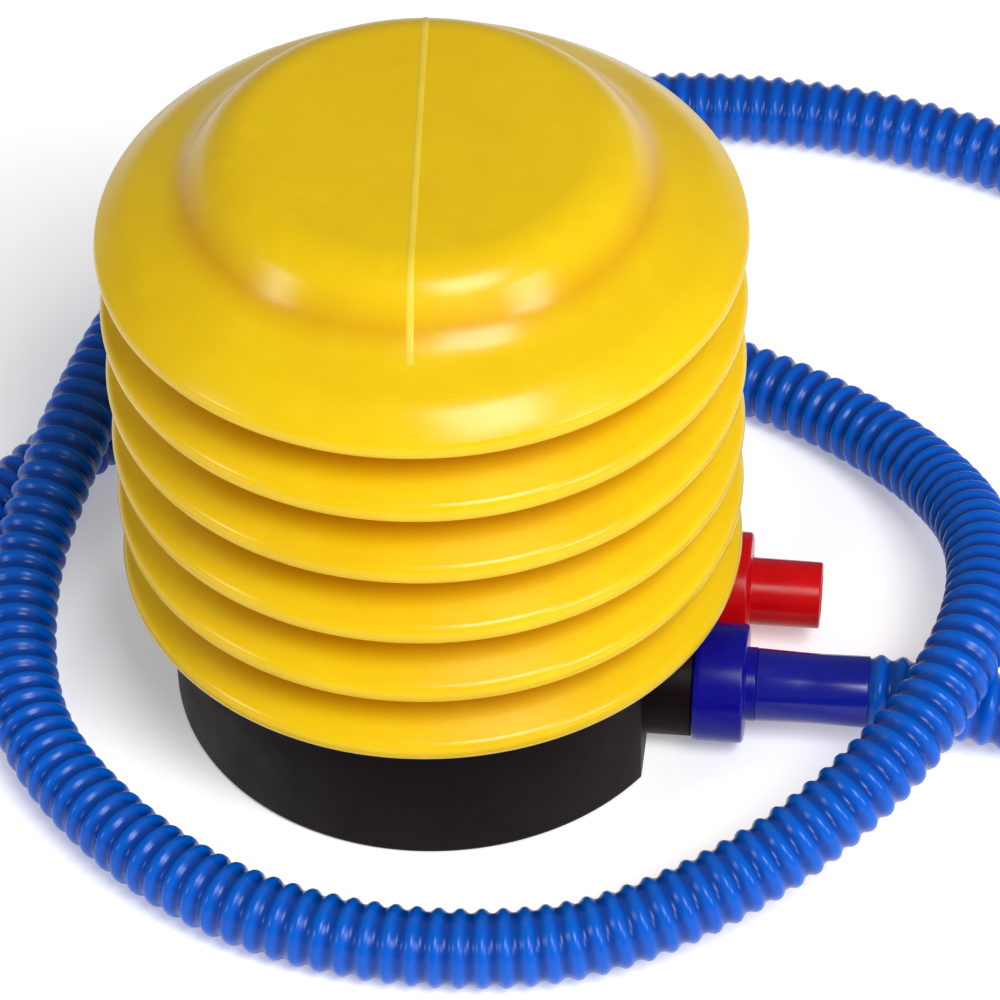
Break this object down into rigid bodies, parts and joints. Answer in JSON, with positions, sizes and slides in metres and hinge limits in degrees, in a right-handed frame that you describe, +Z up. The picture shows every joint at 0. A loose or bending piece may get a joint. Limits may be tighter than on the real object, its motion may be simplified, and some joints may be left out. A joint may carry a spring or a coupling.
{
  "type": "bellows foot pump",
  "caption": "Foot-pressed bellows pump with a domed pad, folded yellow bellows, black base, red inlet, blue outlet and a ribbed blue hose with a stepped nozzle.",
  "frame": {"origin": "centre of the base's underside, on the surface the pump stands on", "axes": "+Z up along the bellows, +X along the two ports, -Y side holds the outlet and its hose, +Y side the inlet"},
  "size_m": [0.3345, 0.2692, 0.131],
  "materials": {
    "bellows": "blow-moulded soft polyethylene, satin gloss, faint flow marks and a mould line",
    "base": "injection-moulded ABS, satin, fine grain",
    "inlet_red": "glossy injection-moulded plastic",
    "outlet_blue": "glossy injection-moulded plastic, deep blue",
    "hose_fittings": "glossy smooth plastic, deep blue",
    "hose": "ribbed flexible polyethylene, satin gloss",
    "rubber": "soft matt rubber",
    "white_plastic": "natural nylon, satin",
    "steel": "bright zinc-plated steel"
  },
  "bodies": {
    "base": {"base_cup": "base", "base_lid": "base", "lid_screw_1": "steel", "lid_screw_2": "steel", "lid_screw_3": "steel", "inlet_port_cap": "inlet_red", "outlet_port_cap": "outlet_blue", "inlet_gasket": "rubber", "outlet_gasket": "rubber", "inlet_valve_seat": "white_plastic", "outlet_valve_seat": "white_plastic", "bellows_bottom_rim": "bellows", "return_spring": "steel", "spring_seat_lower": "white_plastic", "hose_cuff": "hose_fittings", "hose": "hose", "hose_end_cuff": "hose_fittings", "nozzle": "hose_fittings"},
    "outlet_flap": {"outlet_valve_flap": "rubber"},
    "inlet_flap": {"inlet_valve_flap": "rubber"},
    "rim_5": {"bellows_rim_5": "bellows", "bellows_fold_5": "bellows"},
    "rim_4": {"bellows_rim_4": "bellows", "bellows_fold_4": "bellows"},
    "rim_3": {"bellows_rim_3": "bellows", "bellows_fold_3": "bellows"},
    "rim_2": {"bellows_rim_2": "bellows", "bellows_fold_2": "bellows"},
    "top": {"bellows_top": "bellows", "bellows_fold_1": "bellows", "spring_seat_upper": "white_plastic"}
  },
  "joints": [
    {"name": "bellows_press_5", "type": "slide", "parent": "base", "child": "rim_5", "axis": [0, 0, -1], "range_m": [0, 0.0096], "stiffness_N_per_m": 3000, "springref_m": -0.004, "deforming": ["bellows_fold_5", "return_spring"]},
    {"name": "bellows_press_4", "type": "slide", "parent": "rim_5", "child": "rim_4", "axis": [0, 0, -1], "range_m": [0, 0.0096], "stiffness_N_per_m": 3000, "springref_m": -0.004, "deforming": ["bellows_fold_4"]},
    {"name": "bellows_press_3", "type": "slide", "parent": "rim_4", "child": "rim_3", "axis": [0, 0, -1], "range_m": [0, 0.0096], "stiffness_N_per_m": 3000, "springref_m": -0.004, "deforming": ["bellows_fold_3"]},
    {"name": "bellows_press_2", "type": "slide", "parent": "rim_3", "child": "rim_2", "axis": [0, 0, -1], "range_m": [0, 0.0096], "stiffness_N_per_m": 3000, "springref_m": -0.004, "deforming": ["bellows_fold_2"]},
    {"name": "bellows_press_1", "type": "slide", "parent": "rim_2", "child": "top", "axis": [0, 0, -1], "range_m": [0, 0.0096], "stiffness_N_per_m": 3000, "springref_m": -0.004, "deforming": ["bellows_fold_1"]},
    {"name": "outlet_valve_lift", "type": "slide", "parent": "base", "child": "outlet_flap", "axis": [1, 0, 0], "range_m": [0, 0.0015], "stiffness_N_per_m": 40, "springref_m": -0.001},
    {"name": "inlet_valve_lift", "type": "slide", "parent": "base", "child": "inlet_flap", "axis": [-1, 0, 0], "range_m": [0, 0.0015], "stiffness_N_per_m": 40, "springref_m": -0.001}
  ],
  "couplings": [
    {"joint": "bellows_press_4", "follows": "bellows_press_5", "ratio": 1},
    {"joint": "bellows_press_3", "follows": "bellows_press_5", "ratio": 1},
    {"joint": "bellows_press_2", "follows": "bellows_press_5", "ratio": 1},
    {"joint": "bellows_press_1", "follows": "bellows_press_5", "ratio": 1}
  ]
}
